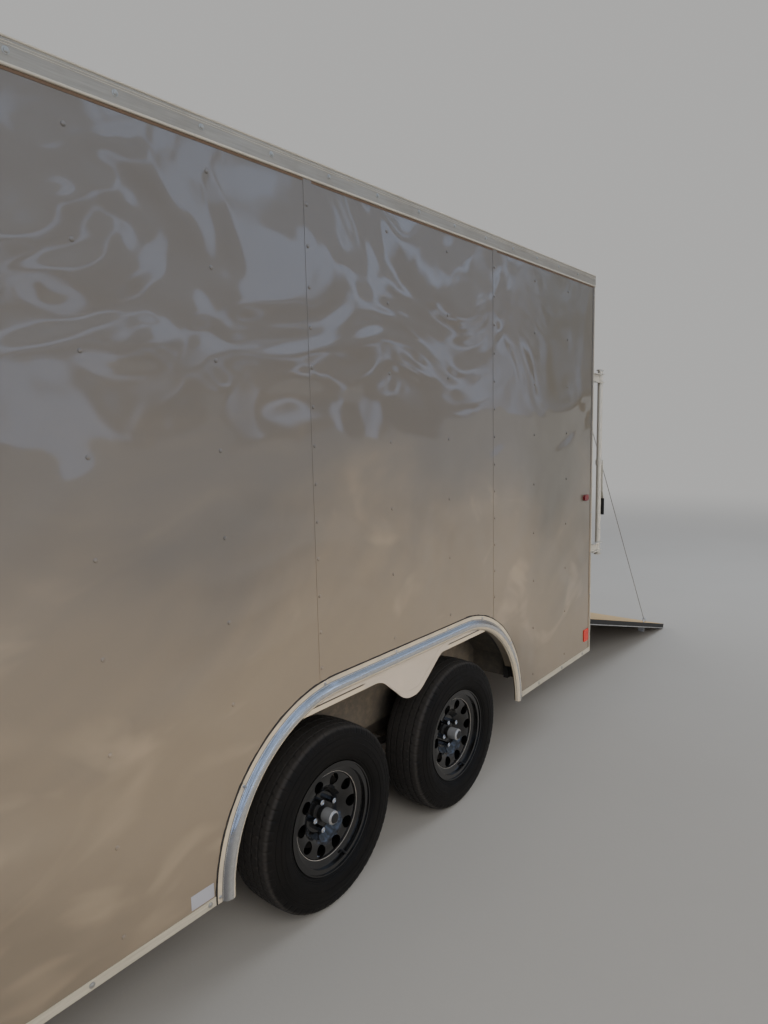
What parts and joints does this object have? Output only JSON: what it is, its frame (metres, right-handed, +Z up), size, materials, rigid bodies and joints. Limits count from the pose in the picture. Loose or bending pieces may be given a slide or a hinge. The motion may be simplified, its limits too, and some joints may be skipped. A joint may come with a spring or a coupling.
{
  "type": "enclosed cargo trailer",
  "caption": "Enclosed V-nose cargo trailer on tandem axles, with a lowered rear ramp door, bar locks, a side door and a tongue jack",
  "frame": {"origin": "on the ground, under the middle of the whole trailer with its ramp lowered", "axes": "+X forward to the coupler, +Y to the left side, +Z up"},
  "size_m": [8.332, 2.5904, 2.725],
  "materials": {
    "frame_paint": "satin black chassis paint",
    "body_paint": "glossy warm grey painted sheet",
    "plywood": "bare plywood",
    "box_lining": "dull grey sheet",
    "tread_plate": "bright tread plate",
    "roof_sheet": "mill finish sheet",
    "white_plastic": "white moulded plastic",
    "trim_aluminium": "satin aluminium",
    "polished_aluminium": "polished aluminium",
    "galvanised": "zinc plated",
    "cable_steel": "wire rope",
    "red_lens": "red lens",
    "amber_lens": "amber lens",
    "tyre_rubber": "rubber",
    "wheel_black": "gloss black",
    "hub_steel": "zinc and chrome"
  },
  "bodies": {
    "root": {"main_frame": "frame_paint", "perimeter_frame": "frame_paint", "crossmembers": "frame_paint", "tongue_frame": "frame_paint", "coupler": "galvanised", "jack_body": "galvanised", "floor_deck": "plywood", "wheel_boxes": "box_lining", "arch_frames": "frame_paint", "side_panel_left_1": "body_paint", "side_panel_left_2": "body_paint", "side_panel_left_3": "body_paint", "side_panel_left_4": "body_paint", "side_panel_right_1": "body_paint", "side_panel_right_2": "body_paint", "side_panel_right_3": "body_paint", "side_panel_right_4": "body_paint", "nose_panel_left": "body_paint", "nose_panel_right": "body_paint", "nose_cap": "body_paint", "stone_guard": "tread_plate", "roof": "roof_sheet", "roof_vent": "white_plastic", "roof_rails": "trim_aluminium", "edge_trims": "trim_aluminium", "fender_flares": "polished_aluminium", "fender_skirts": "body_paint", "rear_frame": "body_paint", "ramp_spring": "frame_paint", "axle_front": "frame_paint", "axle_rear": "frame_paint", "leaf_springs": "frame_paint", "lamps_red": "red_lens", "lamps_amber": "amber_lens"},
    "jack_leg": {"jack_leg": "galvanised"},
    "side_door": {"side_door": "body_paint"},
    "ramp": {"ramp_door": "body_paint", "ramp_deck": "plywood", "ramp_hardware": "galvanised"},
    "cables": {"ramp_cables": "cable_steel"},
    "bar_lock_left": {"bar_lock_left": "galvanised"},
    "bar_lock_right": {"bar_lock_right": "galvanised"},
    "wheel_front_left": {"tyre_front_left": "tyre_rubber", "rim_front_left": "wheel_black", "hub_front_left": "hub_steel"},
    "wheel_front_right": {"tyre_front_right": "tyre_rubber", "rim_front_right": "wheel_black", "hub_front_right": "hub_steel"},
    "wheel_rear_left": {"tyre_rear_left": "tyre_rubber", "rim_rear_left": "wheel_black", "hub_rear_left": "hub_steel"},
    "wheel_rear_right": {"tyre_rear_right": "tyre_rubber", "rim_rear_right": "wheel_black", "hub_rear_right": "hub_steel"}
  },
  "joints": [
    {"name": "ramp_hinge", "type": "hinge", "parent": "root", "child": "ramp", "pos_m": [-2.22903, 0, 0.54], "axis": [0, 1, 0], "range_deg": [0, 104.77], "deforming": ["ramp_cables"]},
    {"name": "cable_swing", "type": "hinge", "parent": "root", "child": "cables", "pos_m": [-2.03303, 0, 2.5], "axis": [0, 1, 0], "range_deg": [-11.57, 0]},
    {"name": "side_door_hinge", "type": "hinge", "parent": "root", "child": "side_door", "pos_m": [2.34247, -1.283, 1.47], "axis": [0, 0, 1], "range_deg": [0, 120]},
    {"name": "bar_lock_left_swing", "type": "hinge", "parent": "root", "child": "bar_lock_left", "pos_m": [-2.28703, 1.258, 1.5], "axis": [0, 0, 1], "range_deg": [0, 90]},
    {"name": "bar_lock_right_swing", "type": "hinge", "parent": "root", "child": "bar_lock_right", "pos_m": [-2.28703, -1.258, 1.5], "axis": [0, 0, -1], "range_deg": [0, 90]},
    {"name": "jack_leg_slide", "type": "slide", "parent": "root", "child": "jack_leg", "axis": [0, 0, 1], "range_m": [-0.08, 0.25]},
    {"name": "wheel_front_left_spin", "type": "hinge", "parent": "root", "child": "wheel_front_left", "pos_m": [0.09447, 1.165, 0.344], "axis": [0, 1, 0], "continuous": true},
    {"name": "wheel_front_right_spin", "type": "hinge", "parent": "root", "child": "wheel_front_right", "pos_m": [0.09447, -1.165, 0.344], "axis": [0, 1, 0], "continuous": true},
    {"name": "wheel_rear_left_spin", "type": "hinge", "parent": "root", "child": "wheel_rear_left", "pos_m": [-0.76053, 1.165, 0.344], "axis": [0, 1, 0], "continuous": true},
    {"name": "wheel_rear_right_spin", "type": "hinge", "parent": "root", "child": "wheel_rear_right", "pos_m": [-0.76053, -1.165, 0.344], "axis": [0, 1, 0], "continuous": true}
  ],
  "couplings": [
    {"joint": "cable_swing", "follows": "ramp_hinge", "ratio": -0.10853}
  ]
}
